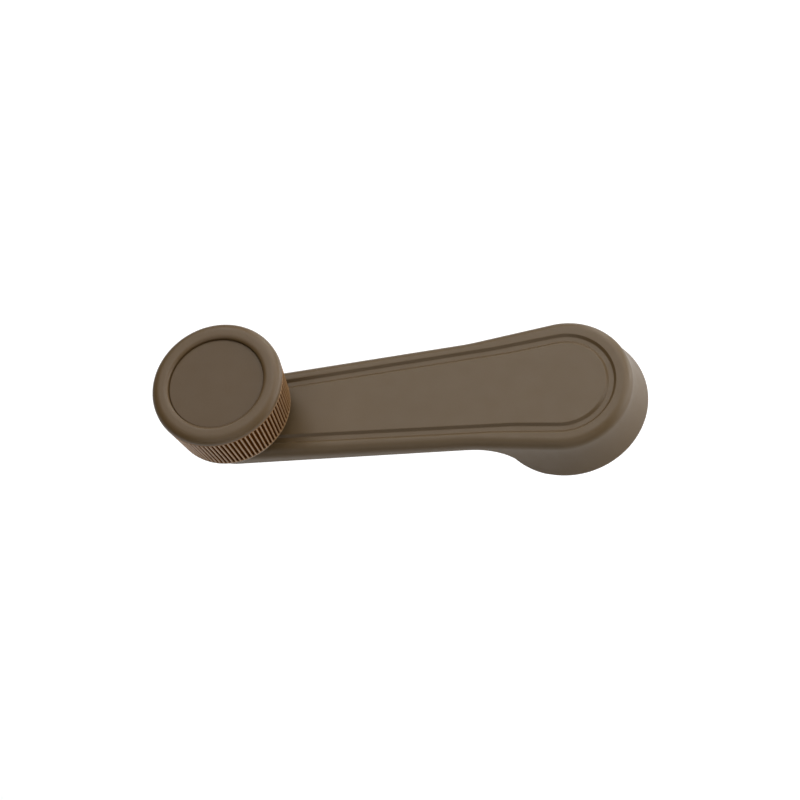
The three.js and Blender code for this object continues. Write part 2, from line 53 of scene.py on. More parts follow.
# The arm, as in the CAD part.
TAPER = 0.055
BLEND_RADIUS = 60
ARM_TOP = 14.7
ARM_UNDERSIDE = 11.2
UNDERSIDE_FALL = 0.022               # the arm deepens by this much per millimetre towards the knob
HUB_RADIUS = 19.91
ARM_HALF_WIDTH = 18.02
ARM_CORNER = 26.9                    # station along the arm where the hub's shoulder meets the edge
EDGE_ROUND = 2.8
FACE_THICKNESS = 1.8
WALL = 2.2
SKIRT_BOTTOM = 0.6
SKIRT_FLARE = 2.65
FLARE_POWER = 1.6
ARCH_RADIUS = 6.4
ARCH_CENTRE = 30.2                   # from the spindle axis
ARCH_FOOT = 2.5                      # height where the arch runs into the skirt
CHANNEL_PLAN = (15.05, 14.25, 19.8)  # hub radius, half width and corner station of its outer wall
PANEL_PLAN = (12.93, 12.2, 14.3)     # the same for its inner wall
CHANNEL_DEPTH = 0.7
CHANNEL_DRAFT = 0.7                  # how far each of its walls leans over its depth
LIP_ROUND = 0.4                      # on its lips and along its floor
SUPPORT = 0.12                       # a flat face keeps a narrow band beside each rounding

CORE_BOTTOM = 11.1
CORE_TOP = 12.6
CORE_EDGE_GAP = 0.4
CORE_HUB_HOLE = 6.5
PLAY = 0.3
POST_STATIONS = (38, 66)
POST_RADIUS = 1.6
BOSS_RADIUS = 6.4
BOSS_TOP = 18.2
PIN_NECK_RADIUS = 3
PIN_COLLAR_RADIUS = 5
POST_END = 9.6                       # height of the posts' free ends

# The splined socket, its rivets and the clip.
SOCKET_TOP = CORE_BOTTOM - PLAY
SOCKET_STEP = SOCKET_TOP - 2
SOCKET_BOTTOM = 3.2
SOCKET_FLANGE_RADIUS = 14
SOCKET_BARREL_RADIUS = 9.6
SPLINE_TEETH = 24
SPLINE_ROOT = 6.2
SPLINE_TIP = 5.6
RIVET_COUNT = 3
RIVET_CIRCLE = 11.8
RIVET_HOLE = 1.85
CLIP_LEG = 6.3
CLIP_MIDDLE = 5.35
CLIP_BACK = 6.9
CLIP_TIP = -8.5
CLIP_WIDTH = 1.6
CLIP_THICKNESS = 1.2
CLIP_SLOT_HEIGHT = 1.9

# The knob.
KNOB_BOTTOM = 19.65
KNOB_FOOT_RADIUS = 17.3
KNOB_RADIUS = 19.02
RIB_BOTTOM = 20.3
RIB_TOP = 35.0
RIB_COUNT = 90
RIB_SAMPLES = 12
FLUTE_DEPTH = 0.8
SEAM_RADIUS = 18.72
SEAM_HEIGHT = 35.2
RIM_RADIUS = 18.98
RIM_BOTTOM = 35.35
RIM_TOP = 37.5
RIM_CREST = (15.3, 16.3)             # inner and outer radius of its flat top
RECESS_RADIUS = 13.92
RECESS_EDGE = 36.75
CAP_TOP = 36.4


# ---- Meshes ----
def mesh_object(name, points, faces):
    """An object at the origin whose mesh has these points, given in millimetres."""
    mesh = bpy.data.meshes.new(name)
    mesh.from_pydata([[c * MM for c in p] for p in points], [], faces)
    mesh.update()
    piece = bpy.data.objects.new(name, mesh)
    bpy.context.scene.collection.objects.link(piece)
    return piece


def smooth_by_angle(piece, degrees=32):
    """Smooth shading, with edges sharper than the angle kept crisp."""
    work = bmesh.new()
    work.from_mesh(piece.data)
    bmesh.ops.recalc_face_normals(work, faces=work.faces)
    limit = math.radians(degrees)
    for face in work.faces:
        face.smooth = True
    for edge in work.edges:
        edge.smooth = len(edge.link_faces) == 2 and edge.calc_face_angle(0) < limit
    work.to_mesh(piece.data)
    work.free()
    return piece


def lofted(name, rings):
    """A closed skin over rings of points with equal counts, with a flat face on each end."""
    count = len(rings[0])
    points = [p for ring in rings for p in ring]
    faces = []
    for level in range(len(rings) - 1):
        for i in range(count):
            a = level * count + i
            b = level * count + (i + 1) % count
            faces.append((a, b, b + count, a + count))
    faces.append(tuple(reversed(range(count))))
    last = (len(rings) - 1) * count
    faces.append(tuple(range(last, last + count)))
    return mesh_object(name, points, faces)


def filleted(corners, radius, steps=4, closed=True):
    """The outline through these corners with each one rounded, by less where its sides are short."""
    count = len(corners)
    outline = []
    for i, corner in enumerate(corners):
        if not closed and i in (0, count - 1):
            outline.append(corner)
            continue
        here = Vector(corner)
        before = Vector(corners[i - 1]) - here
        after = Vector(corners[(i + 1) % count]) - here
        angle = before.angle(after)
        reach = min(radius / math.tan(angle / 2), 0.45 * before.length, 0.45 * after.length)
        start = here + before.normalized() * reach
        end = here + after.normalized() * reach
        for k in range(steps + 1):
            t = k / steps
            point = start * (1 - t) ** 2 + here * 2 * t * (1 - t) + end * t * t
            outline.append((point.x, point.y))
    return outline


def wrapped_faces(segments, count, closed=True):
    """Faces between neighbouring copies of an outline of this many points, all the way round."""
    faces = []
    for i in range(segments):
        for k in range(count if closed else count - 1):
            a = i * count + k
            b = i * count + (k + 1) % count
            c = (i + 1) % segments * count + (k + 1) % count
            d = (i + 1) % segments * count + k
            faces.append((a, d, c, b))
    return faces


def turned(name, outline, x=0.0, segments=96, closed=True):
    """An outline of (radius, height) pairs turned about an upright axis at x."""
    points = []
    for i in range(segments):
        angle = 2 * math.pi * i / segments
        for radius, height in outline:
            points.append((x + radius * math.cos(angle), radius * math.sin(angle), height))
    piece = mesh_object(name, points, wrapped_faces(segments, len(outline), closed))
    work = bmesh.new()
    work.from_mesh(piece.data)
    bmesh.ops.remove_doubles(work, verts=work.verts, dist=1e-7)
    bmesh.ops.dissolve_degenerate(work, edges=work.edges, dist=1e-7)
    work.to_mesh(piece.data)
    work.free()
    return piece


def turned_ring(name, bore, radius, bottom, top, x=0.0, fillet=0.12, segments=96):
    corners = [(radius, bottom), (radius, top), (bore, top), (bore, bottom)]
    return turned(name, filleted(corners, fillet), x, segments)


def shaped(piece, cuts=(), joins=()):
    """Cuts and joins other closed meshes, then discards them."""
    for others, operation in ((cuts, "DIFFERENCE"), (joins, "UNION")):
        for other in others:
            step = piece.modifiers.new(operation, "BOOLEAN")
            step.operation = operation
            step.solver = "EXACT"
            step.object = other
    graph = bpy.context.evaluated_depsgraph_get()
    mesh = bpy.data.meshes.new_from_object(piece.evaluated_get(graph))
    piece.modifiers.clear()
    piece.data = mesh
    for other in (*cuts, *joins):
        bpy.data.objects.remove(other)
    return piece


# ---- Outlines ----
def arc(centre, radius, start, end, steps):
    turn = [start + (end - start) * i / steps for i in range(steps + 1)]
    return [(centre[0] + radius * math.cos(t), centre[1] + radius * math.sin(t)) for t in turn]


def arm_outline(plan, inset=0.0):
    """Round hub, straight shoulder, hollow blend, tapered edge and round end about the knob axis.

    The shoulder is the hub circle's tangent from the corner, and the blend rounds the corner off.
    """
    hub_radius, half_width, corner = plan
    corner_height = half_width - corner * math.tan(TAPER)
    shoulder = math.atan2(corner, corner_height) - math.acos(hub_radius / math.hypot(corner, corner_height))
    hub = hub_radius - inset
    edge = half_width * math.cos(TAPER) - inset
    blend = BLEND_RADIUS + inset
    turn = math.sin(shoulder - TAPER)
    centre = (
        ((edge + blend) * math.cos(shoulder) - (hub + blend) * math.cos(TAPER)) / turn,
        ((edge + blend) * math.sin(shoulder) - (hub + blend) * math.sin(TAPER)) / turn,
    )
    quarter = math.pi / 2
    upper = arc((0, 0), hub, 0, quarter + shoulder, 56)
    upper += arc(centre, blend, shoulder - quarter, TAPER - quarter, 12)
    upper += arc((KNOB_X, 0), edge - CENTRES * math.sin(TAPER), quarter + TAPER, math.pi, 30)
    return upper + [(x, -y) for x, y in reversed(upper[1:-1])]


def skin_outline(hub_radius, inset=0.0):
    return arm_outline((hub_radius, ARM_HALF_WIDTH, ARM_CORNER), inset)


def ring_at(outline, height):
    return [(x, y, height) for x, y in outline]


def skirt_radius(height):
    wall_top = ARM_TOP - EDGE_ROUND
    reach = max(0.0, wall_top - height) / (wall_top - SKIRT_BOTTOM)
    return HUB_RADIUS + SKIRT_FLARE * reach ** FLARE_POWER


def prism(name, outline, bottom, top):
    return lofted(name, [ring_at(outline, bottom), ring_at(outline, top)])


def disc(name, radius, bottom, top, x=0.0, y=0.0, segments=64):
    return prism(name, arc((x, y), radius, 0, 2 * math.pi, segments)[:-1], bottom, top)


# ---- The arm ----
def skin_rings():
    """Up the skirt and wall, over the rounded edge, across the channel and on to the flat panel."""
    rings = []
    wall_top = ARM_TOP - EDGE_ROUND
    foot_round = 0.15
    for step in range(4):
        turn = math.pi / 2 * step / 3
        height = SKIRT_BOTTOM + foot_round * (1 - math.cos(turn))
        inset = foot_round * (1 - math.sin(turn))
        rings.append(ring_at(skin_outline(skirt_radius(height), inset), height))
    flare_steps = 16
    for step in range(1, flare_steps + 1):
        height = SKIRT_BOTTOM + foot_round + (wall_top - SKIRT_BOTTOM - foot_round) * step / flare_steps
        rings.append(ring_at(skin_outline(skirt_radius(height)), height))
    edge_steps = 12
    for step in range(1, edge_steps + 1):
        turn = math.pi / 2 * step / edge_steps
        outline = skin_outline(HUB_RADIUS, EDGE_ROUND * (1 - math.cos(turn)))
        rings.append(ring_at(outline, wall_top + EDGE_ROUND * math.sin(turn)))
    rings.append(ring_at(skin_outline(HUB_RADIUS, EDGE_ROUND + SUPPORT), ARM_TOP))
    floor = ARM_TOP - CHANNEL_DEPTH
    wall = channel_wall(ARM_TOP, floor)
    for inset, height in wall:
        rings.append(ring_at(arm_outline(CHANNEL_PLAN, inset), height))
    for inset, height in reversed(wall):
        rings.append(ring_at(arm_outline(PANEL_PLAN, -inset), height))
    return rings


def channel_wall(top, floor):
    """(inset, height) pairs down one sloping wall of the channel: a rounded lip and a rounded foot."""
    lean = CHANNEL_DRAFT / 2
    corners = [(-lean - LIP_ROUND, top), (-lean, top), (lean, floor), (lean + LIP_ROUND, floor)]
    return filleted(corners, LIP_ROUND, 6, closed=False)


def under_arm_cut():
    """All below the sloping underside, outside the arch and outside the round skirt.

    The arch starts with a straight line from the skirt that touches its round part.
    """
    gap = 0.02
    far = 2 * CENTRES
    middle = ARM_UNDERSIDE - ARCH_RADIUS
    across, up = ARCH_CENTRE - skirt_radius(ARCH_FOOT) - gap, middle - ARCH_FOOT
    steepness = math.atan2(up, across) + math.asin(ARCH_RADIUS / math.hypot(across, up))
    outline = [(far, -1), (far, ARM_UNDERSIDE - UNDERSIDE_FALL * (far - ARCH_CENTRE))]
    outline += arc((ARCH_CENTRE, middle), ARCH_RADIUS, math.pi / 2, math.pi / 2 + steepness, 24)
    steps = 8
    for step in range(steps + 1):
        height = ARCH_FOOT + (SKIRT_BOTTOM - ARCH_FOOT) * step / steps
        outline.append((skirt_radius(height) + gap, height))
    outline.append((skirt_radius(SKIRT_BOTTOM) + gap, -1))
    return turned("under_arm_cut", outline, segments=192)


def hub_cavity():
    roof = ARM_TOP - FACE_THICKNESS
    outline = [(0, SKIRT_BOTTOM - 1), (skirt_radius(SKIRT_BOTTOM) - WALL, SKIRT_BOTTOM - 1)]
    steps = 12
    for step in range(steps + 1):
        height = SKIRT_BOTTOM + (roof - SKIRT_BOTTOM) * step / steps
        outline.append((skirt_radius(height) - WALL, height))
    outline.append((0, roof))
    return turned("hub_cavity", outline, segments=128, closed=False)


def make_arm_skin():
    skin = lofted("arm_skin_moulding", skin_rings())
    inside = skin_outline(HUB_RADIUS, WALL)
    pocket = prism("arm_pocket", inside, CORE_BOTTOM - PLAY, ARM_TOP - FACE_THICKNESS)
    opening = shaped(prism("arm_opening", inside, SOCKET_BOTTOM, CORE_BOTTOM),
                     cuts=[disc("kept", ARCH_CENTRE, 0, ARM_TOP)])
    boss = disc("boss", BOSS_RADIUS, ARM_TOP - 1, BOSS_TOP, KNOB_X)
    posts = [disc("post", POST_RADIUS, POST_END, ARM_TOP - 1.5, -s, segments=32) for s in POST_STATIONS]
    shaped(skin, cuts=[under_arm_cut(), hub_cavity(), pocket, opening], joins=[boss, *posts])
    shaped(skin, cuts=[disc("pin_hole", PIN_COLLAR_RADIUS + PLAY, 0, BOSS_TOP + 1, KNOB_X)])
    return smooth_by_angle(skin)


# ---- What the arm carries ----
def rivet_place(index):
    angle = math.pi / 3 + index * 2 * math.pi / RIVET_COUNT
    return RIVET_CIRCLE * math.cos(angle), RIVET_CIRCLE * math.sin(angle)


def rivet_holes(bottom, top):
    places = [rivet_place(index) for index in range(RIVET_COUNT)]
    return [disc("rivet_hole", RIVET_HOLE, bottom, top, x, y, segments=40) for x, y in places]


def make_arm_core():
    """A stamped plate: its edges are eased on both faces."""
    ease = 0.2
    rings = []
    edge = [(ease, CORE_BOTTOM), (0, CORE_BOTTOM + ease), (0, CORE_TOP - ease), (ease, CORE_TOP)]
    for inset, height in edge:
        rings.append(ring_at(skin_outline(HUB_RADIUS, WALL + CORE_EDGE_GAP + inset), height))
    plate = lofted("arm_core_plate", rings)
    low, high = CORE_BOTTOM - 1, CORE_TOP + 1
    cuts = [disc("hub_hole", CORE_HUB_HOLE, low, high)]
    cuts.append(disc("neck_hole", PIN_NECK_RADIUS + PLAY, low, high, KNOB_X))
    cuts += [disc("post_hole", POST_RADIUS + PLAY, low, high, -s, segments=40) for s in POST_STATIONS]
    return smooth_by_angle(shaped(plate, cuts=cuts + rivet_holes(low, high)))


def make_push_nut(name, station):
    """A dished spring nut: a flat rim, and fingers that lean down and grip the post."""
    top = CORE_BOTTOM - PLAY
    outline = [(4.4, top), (4.4, top - 0.3), (3.1, top - 0.38), (1.95, top - 0.8), (1.9, top - 0.55)]
    outline += [(2.9, top - 0.1), (3.4, top)]
    nut = turned(name, filleted(outline, 0.1, 3), -station, 72)
    cuts = []
    for i in range(6):
        angle = math.pi / 3 * i
        reach = 3.0
        side = Vector((-math.sin(angle), math.cos(angle))) * 0.2
        along = Vector((math.cos(angle), math.sin(angle)))
        corners = [along * 1.2 - side, along * reach - side, along * reach + side, along * 1.2 + side]
        cuts.append(prism("nut_slot", [(-station + c.x, c.y) for c in corners], top - 2, top + 1))
    return smooth_by_angle(shaped(nut, cuts=cuts))


def spline_outline():
    """The female teeth: flat tips and roots joined by sloping flanks, with the corners eased."""
    outline = []
    samples = 12
    for i in range(SPLINE_TEETH * samples):
        share = i / samples % 1
        rise = min(1, max(0, (0.5 - abs(share - 0.675)) / 0.5 * 2.2 - 0.75))
        radius = SPLINE_TIP + (SPLINE_ROOT - SPLINE_TIP) * rise * rise * (3 - 2 * rise)
        angle = 2 * math.pi * i / (SPLINE_TEETH * samples)
        outline.append((radius * math.cos(angle), radius * math.sin(angle)))
    return outline


def make_spline_socket():
    """A cast barrel and flange, with a broached bore and a slot in each side for the clip."""
    corners = [(1, SOCKET_TOP), (1, SOCKET_BOTTOM), (SOCKET_BARREL_RADIUS, SOCKET_BOTTOM)]
    corners += [(SOCKET_BARREL_RADIUS, SOCKET_STEP), (SOCKET_FLANGE_RADIUS, SOCKET_STEP)]
    corners += [(SOCKET_FLANGE_RADIUS, SOCKET_TOP)]
    body = turned("spline_socket_casting", filleted(corners, 0.35), segments=128)
    cuts = [prism("spline_bore", spline_outline(), SOCKET_BOTTOM - 1, SOCKET_TOP + 1)]
    mouth = [(0, 2), (SPLINE_ROOT + 0.7, 2), (SPLINE_ROOT + 0.7, SOCKET_BOTTOM)]
    mouth += [(SPLINE_TIP - 0.3, SOCKET_BOTTOM + 1), (0, SOCKET_BOTTOM + 1)]
    cuts.append(turned("bore_mouth", mouth, closed=False))
    inner = CLIP_LEG - CLIP_WIDTH / 2 - PLAY
    outer = SOCKET_BARREL_RADIUS + 1
    low, high = CLIP_MIDDLE - CLIP_SLOT_HEIGHT / 2, CLIP_MIDDLE + CLIP_SLOT_HEIGHT / 2
    for side in (-1, 1):
        near, far = side * inner, side * outer
        corners = [(-outer, near), (outer, near), (outer, far), (-outer, far)]
        cuts.append(prism("clip_slot", corners[::side], low, high))
    return smooth_by_angle(shaped(body, cuts=cuts + rivet_holes(SOCKET_BOTTOM + 1, SOCKET_TOP + 1)))


def make_rivet(name, index):
    x, y = rivet_place(index)
    head_top = SOCKET_STEP - PLAY
    outline = [(0, head_top - 0.8), (0.8, head_top - 0.77), (1.5, head_top - 0.65), (2.0, head_top - 0.4)]
    outline += [(2.2, head_top - 0.1), (2.2, head_top), (1.5, head_top)]
    outline += [(1.5, CORE_TOP - 0.1), (0, CORE_TOP - 0.1)]
    rivet = turned(name, outline, 0, 48, closed=False)
    rivet.data.transform(Matrix.Translation((x * MM, y * MM, 0)))
    return smooth_by_angle(rivet, 40)


def make_clip():
    """A flat spring strip swept round its horseshoe path, with eased edges."""
    flare = 1.2
    tip = [(CLIP_TIP, CLIP_LEG + flare), (CLIP_TIP + 1.0, CLIP_LEG + 0.6 * flare)]
    tip += [(CLIP_TIP + 2, CLIP_LEG + 0.12), (CLIP_TIP + 3, CLIP_LEG)]
    leg = [(CLIP_TIP + 3 + (CLIP_BACK - CLIP_TIP - 3) * k / 6, CLIP_LEG) for k in range(1, 6)]
    half = tip + leg + arc((CLIP_BACK, 0), CLIP_LEG, math.pi / 2, 0, 20)
    path = [Vector(p) for p in half + [(x, -y) for x, y in reversed(half[:-1])]]
    wide, deep = CLIP_WIDTH / 2, CLIP_THICKNESS / 2
    section = filleted([(-wide, -deep), (wide, -deep), (wide, deep), (-wide, deep)], 0.35)
    points = []
    for i, spot in enumerate(path):
        ahead = path[min(i + 1, len(path) - 1)] - path[max(i - 1, 0)]
        out = Vector((-ahead.y, ahead.x)).normalized()
        points.append([(spot.x + out.x * u, spot.y + out.y * u, CLIP_MIDDLE + v) for u, v in section])
    return smooth_by_angle(lofted("clip_spring", points), 40)


def make_wear_ring():
    corners = [(17.2, 0), (17.2, 1.6), (9.8, 1.6), (9.8, 2.9), (7, 2.9), (7, 0)]
    return smooth_by_angle(turned("wear_ring_moulding", filleted(corners, 0.3), segments=160))


def make_knob_pin():
    outline = [(0, 8.9), (2.6, 8.94), (3.6, 9.06), (4.15, 9.3), (4.4, 9.6), (4.4, 9.9), (3, 9.9), (3, 12.9)]
    outline += [(5, 12.9), (5, 18.3), (4.9, 18.4), (3.2, 18.4), (3.2, 31.1), (2.3, 31.1), (2.3, 32.4)]
    outline += [(3.2, 32.4), (3.2, 33.0), (2.7, 33.5), (0, 33.5)]
    return smooth_by_angle(turned("knob_pin_turned", outline, KNOB_X, 64, closed=False))


# ---- The knob ----
def flute_fall(height, share):
    """How far the knob's side falls back from its rib crests, as a share of the flutes' depth."""
    ramp = 0.3
    gate = min(1.0, max(0.0, min(height - RIB_BOTTOM, RIB_TOP - height) / ramp))
    wave = 0.5 - 0.5 * math.cos(2 * math.pi * share * RIB_COUNT)
    step = min(1.0, max(0.0, (wave - 0.1) / 0.7))
    return gate * step * step * (3 - 2 * step)


def knob_side_radius(height):
    share = (height - KNOB_BOTTOM) / (RIB_TOP - KNOB_BOTTOM)
    return KNOB_FOOT_RADIUS + (KNOB_RADIUS - KNOB_FOOT_RADIUS) * share


def knob_outline():
    """(radius, height) pairs: foot, ribbed side, rounded rim, recess, then the hollow inside."""
    foot = [(6.6, KNOB_BOTTOM), (KNOB_FOOT_RADIUS, KNOB_BOTTOM), (knob_side_radius(RIB_BOTTOM), RIB_BOTTOM)]
    outline = filleted(foot, 0.3, closed=False)
    for rise in (0.1, 0.2, 0.3):
        outline.append((knob_side_radius(RIB_BOTTOM + rise), RIB_BOTTOM + rise))
    for drop in (0.3, 0.2, 0.1, 0):
        outline.append((knob_side_radius(RIB_TOP - drop), RIB_TOP - drop))
    outline += [(KNOB_RADIUS - 0.1, RIB_TOP + 0.1), (SEAM_RADIUS, SEAM_HEIGHT)]
    steps = 16
    crest_in, crest_out = RIM_CREST
    for step in range(steps + 1):
        turn = math.pi / 2 * step / steps
        rise = (RIM_TOP - RIM_BOTTOM) * math.sin(turn)
        outline.append((crest_out + (RIM_RADIUS - crest_out) * math.cos(turn), RIM_BOTTOM + rise))
    steps = 8
    for step in range(steps + 1):
        turn = math.pi / 2 * (1 - step / steps)
        fall = (RIM_TOP - RECESS_EDGE) * math.sin(turn)
        outline.append((crest_in - (crest_in - RECESS_RADIUS) * math.cos(turn), RECESS_EDGE + fall))
    outline += [(RECESS_RADIUS, 34.7), (12.7, 34.7), (12.7, 33.4), (14.3, 33.4), (14.3, 22.1)]
    outline += [(14.0, 21.8), (8.1, 21.8), (7.8, 22.1), (7.8, 28.6), (5.3, 28.6), (5.3, 21.2), (6.6, 21.2)]
    return outline


def make_knob_body():
    outline = knob_outline()
    segments = RIB_COUNT * RIB_SAMPLES
    points = []
    for i in range(segments):
        share = i / segments
        angle = 2 * math.pi * share
        for radius, height in outline:
            if radius > KNOB_FOOT_RADIUS - 0.4:
                radius -= FLUTE_DEPTH * flute_fall(height, share)
            points.append((KNOB_X + radius * math.cos(angle), radius * math.sin(angle), height))
    faces = wrapped_faces(segments, len(outline))
    return smooth_by_angle(mesh_object("knob_moulding", points, faces), 40)


def make_knob_cap():
    edge = RECESS_RADIUS - 0.08
    outline = [(0, 35.0), (11.2, 35.0), (11.2, 32.8), (12.4, 32.8), (12.4, 35.0), (edge, 35.0)]
    outline += [(edge, CAP_TOP - 0.25), (edge - 0.08, CAP_TOP - 0.08), (edge - 0.25, CAP_TOP)]
    outline += [(edge - 0.25 - SUPPORT, CAP_TOP), (0, CAP_TOP)]
    return smooth_by_angle(turned("knob_cap_disc", outline, KNOB_X, 192, closed=False))


# ---- Materials ----
def new_material(name):
    material = bpy.data.materials.new(name)
    material.use_nodes = True
    nodes = material.node_tree.nodes
    return material, nodes, material.node_tree.links, nodes["Principled BSDF"]


def noise(nodes, links, coordinates, scale, detail=2.0, roughness=0.5):
    texture = nodes.new("ShaderNodeTexNoise")
    texture.inputs["Scale"].default_value = scale
    texture.inputs["Detail"].default_value = detail
    texture.inputs["Roughness"].default_value = roughness
    links.new(coordinates, texture.inputs["Vector"])
    return texture.outputs["Fac"]


def ramp(nodes, links, value, low, high, low_colour, high_colour):
    blend = nodes.new("ShaderNodeValToRGB")
    blend.color_ramp.elements[0].position = low
    blend.color_ramp.elements[1].position = high
    blend.color_ramp.elements[0].color = (*low_colour, 1)
    blend.color_ramp.elements[1].color = (*high_colour, 1)
    links.new(value, blend.inputs["Fac"])
    return blend.outputs["Color"]


def mapped(nodes, links, value, low, high, new_low, new_high):
    change = nodes.new("ShaderNodeMapRange")
    for socket, number in zip(change.inputs[1:5], (low, high, new_low, new_high)):
        socket.default_value = number
    links.new(value, change.inputs["Value"])
    return change.outputs["Result"]


def shaded(colour, factor):
    return tuple(c * factor for c in colour)


def arithmetic(nodes, links, operation, first, second):
    step = nodes.new("ShaderNodeMath")
    step.operation = operation
    for socket, value in zip(step.inputs, (first, second)):
        if isinstance(value, (int, float)):
            socket.default_value = value
        else:
            links.new(value, socket)
    return step.outputs["Value"]


def blended(nodes, links, share, first, second):
    """A colour that goes from the first to the second; each is a colour or a socket."""
    mix = nodes.new("ShaderNodeMix")
    mix.data_type = "RGBA"
    links.new(share, mix.inputs["Factor"])
    for socket, value in ((mix.inputs[6], first), (mix.inputs[7], second)):
        if isinstance(value, tuple):
            socket.default_value = (*value, 1)
        else:
            links.new(value, socket)
    return mix.outputs[2]


def moulded_plastic(name, colour, roughness, grain_size_mm, grain_depth_mm, gloss_level=0.5):
    """Satin moulded plastic: fine grain, faint flow mottling and slightly uneven gloss."""
    material, nodes, links, shader = new_material(name)
    coordinates = nodes.new("ShaderNodeTexCoord").outputs["Object"]
    mottle = noise(nodes, links, coordinates, 90, 4)
    colours = ramp(nodes, links, mottle, 0.3, 0.7, shaded(colour, 0.985), shaded(colour, 1.015))
    links.new(colours, shader.inputs["Base Color"])
    shader.inputs["Specular IOR Level"].default_value = gloss_level
    gloss = noise(nodes, links, coordinates, 220, 4)
    rough = mapped(nodes, links, gloss, 0.3, 0.7, roughness - 0.03, roughness + 0.03)
    links.new(rough, shader.inputs["Roughness"])
    grain = noise(nodes, links, coordinates, 1 / (grain_size_mm * MM), 3, 0.6)
    bump = nodes.new("ShaderNodeBump")
    bump.inputs["Strength"].default_value = 1.0
    bump.inputs["Distance"].default_value = grain_depth_mm * MM
    links.new(grain, bump.inputs["Height"])
    links.new(bump.outputs["Normal"], shader.inputs["Normal"])
    return material


def paint_light_and_shade_on_flutes(material, crest_highlight, flute_shade):
    """Paints light and shade on the knob's ribbed side: a light orange painted highlight on the rib crests, and
    painted shade down in the flutes, where the gloss is also taken away.
    """
    nodes, links = material.node_tree.nodes, material.node_tree.links
    shader = nodes["Principled BSDF"]
    plain = shader.inputs["Base Color"].links[0].from_socket
    split = nodes.new("ShaderNodeSeparateXYZ")
    links.new(nodes.new("ShaderNodeTexCoord").outputs["Object"], split.inputs["Vector"])
    x, y, z = split.outputs
    across = arithmetic(nodes, links, "SUBTRACT", x, KNOB_X * MM)
    square = arithmetic(nodes, links, "ADD", arithmetic(nodes, links, "POWER", across, 2.0),
                        arithmetic(nodes, links, "POWER", y, 2.0))
    radius = arithmetic(nodes, links, "SQRT", square, 0)
    side = mapped(nodes, links, z, KNOB_BOTTOM * MM, RIB_TOP * MM, KNOB_FOOT_RADIUS * MM, KNOB_RADIUS * MM)
    fall = arithmetic(nodes, links, "SUBTRACT", side, radius)
    depth = mapped(nodes, links, fall, 0.05 * MM, 0.6 * FLUTE_DEPTH * MM, 0, 1)
    # painted highlight colour on the crests, painted shade colour down in the flutes
    ribbed = blended(nodes, links, depth, crest_highlight, flute_shade)
    above = mapped(nodes, links, z, (RIB_BOTTOM - 0.2) * MM, RIB_BOTTOM * MM, 0, 1)
    below = mapped(nodes, links, z, RIB_TOP * MM, (RIM_BOTTOM + 0.2) * MM, 1, 0)
    band = arithmetic(nodes, links, "MULTIPLY", above, below)
    links.new(blended(nodes, links, band, plain, ribbed), shader.inputs["Base Color"])
    hollow = arithmetic(nodes, links, "MULTIPLY", band, depth)
    # no gloss down in the flutes, as part of the painted shade
    links.new(mapped(nodes, links, hollow, 0, 1, 0.5, 0.0), shader.inputs["Specular IOR Level"])


def metal(name, colour, roughness, streak=(1, 1, 1), grain_size_mm=0.4, grain_depth_mm=0.01):
    material, nodes, links, shader = new_material(name)
    shader.inputs["Metallic"].default_value = 1.0
    coordinates = nodes.new("ShaderNodeTexCoord").outputs["Object"]
    stretch = nodes.new("ShaderNodeMapping")
    stretch.inputs["Scale"].default_value = streak
    links.new(coordinates, stretch.inputs["Vector"])
    grain = noise(nodes, links, stretch.outputs["Vector"], 1 / (grain_size_mm * MM), 4, 0.6)
    patches = noise(nodes, links, coordinates, 150, 3)
    colours = ramp(nodes, links, patches, 0.3, 0.7, shaded(colour, 0.85), shaded(colour, 1.08))
    links.new(colours, shader.inputs["Base Color"])
    rough = mapped(nodes, links, grain, 0.3, 0.7, roughness - 0.08, roughness + 0.1)
    links.new(rough, shader.inputs["Roughness"])
    bump = nodes.new("ShaderNodeBump")
    bump.inputs["Distance"].default_value = grain_depth_mm * MM
    links.new(grain, bump.inputs["Height"])
    links.new(bump.outputs["Normal"], shader.inputs["Normal"])
    return material


# ---- Build ----
def finish_piece(piece, body, material, slot, *replaced):
    piece.data.materials.clear()
    piece.data.materials.append(material)
    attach(piece, body)
    if replaced:
        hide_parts(*replaced)


arm_plastic = moulded_plastic("arm plastic", (0.099, 0.06, 0.0223), 0.48, 0.28, 0.012)
knob_plastic = moulded_plastic("knob plastic", (0.099, 0.0576, 0.0202), 0.46, 0.3, 0.008)
cap_plastic = moulded_plastic("cap plastic", (0.085, 0.0488, 0.0168), 0.55, 0.22, 0.012)
# painted highlight colour for the rib crests, painted shade colour for the flutes
paint_light_and_shade_on_flutes(knob_plastic, (0.27, 0.147, 0.058), (0.1, 0.036, 0.007))
plated = metal("zinc plated steel", (0.56, 0.57, 0.55), 0.32)
spring = metal("spring steel", (0.16, 0.15, 0.14), 0.38)
zinc = metal("cast zinc", (0.42, 0.42, 0.41), 0.5, grain_size_mm=0.6, grain_depth_mm=0.03)
nylon = moulded_plastic("nylon", (0.78, 0.74, 0.62), 0.45, 0.5, 0.006)

